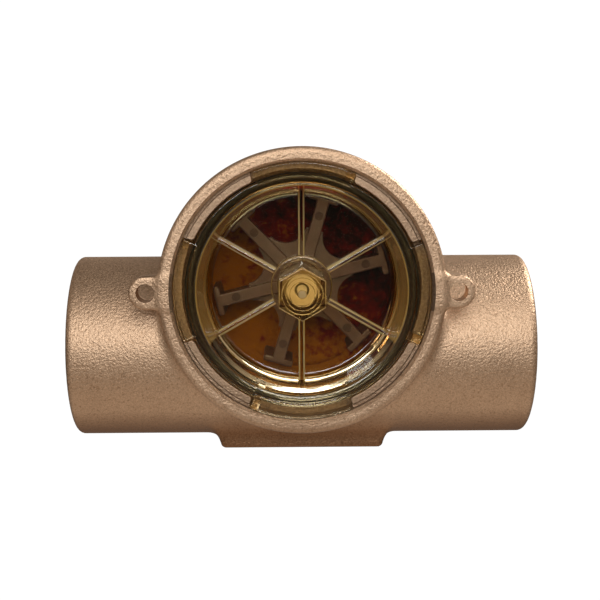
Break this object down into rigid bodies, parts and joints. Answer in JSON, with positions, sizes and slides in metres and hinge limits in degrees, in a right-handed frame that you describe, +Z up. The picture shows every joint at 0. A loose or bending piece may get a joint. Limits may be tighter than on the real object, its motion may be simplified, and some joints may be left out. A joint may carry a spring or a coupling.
{
  "type": "sight flow indicator",
  "caption": "Bronze in-line sight flow indicator with a paddle rotor behind a twist-off amber lens cap, female pipe threads at both ends, two ears and a flat foot.",
  "frame": {"origin": "centre of the foot's flat underside, midway between the threaded ends and below the pipe axis", "axes": "+X along the pipe towards the outlet, -Y out of the lens towards the viewer, +Z up"},
  "size_m": [0.1084, 0.0527, 0.0716],
  "materials": {
    "bronze": "sand-cast bronze, unpainted, blasted",
    "amber_polysulfone": "clear amber moulding",
    "seal_rubber": "black nitrile",
    "stainless": "ground stainless",
    "rotor_plastic": "moulded light grey plastic",
    "bearing_plastic": "off-white bearing plastic"
  },
  "bodies": {
    "housing": {"body": "bronze", "shaft": "stainless", "shaft_clip": "stainless", "front_thrust_washer": "bearing_plastic", "rear_thrust_washer": "bearing_plastic"},
    "rotor_unit": {"rotor": "rotor_plastic", "rotor_bush": "bearing_plastic"},
    "lens_cap": {"lens": "amber_polysulfone", "lens_o_ring": "seal_rubber", "lens_bearing": "bearing_plastic"}
  },
  "joints": [
    {"name": "rotor_spin", "type": "hinge", "parent": "housing", "child": "rotor_unit", "pos_m": [0, 0, 0.0395], "axis": [0, -1, 0], "continuous": true},
    {"name": "lens_turn", "type": "hinge", "parent": "housing", "child": "lens_cap", "pos_m": [0, 0, 0.0395], "axis": [0, -1, 0], "range_deg": [0, 44]}
  ]
}
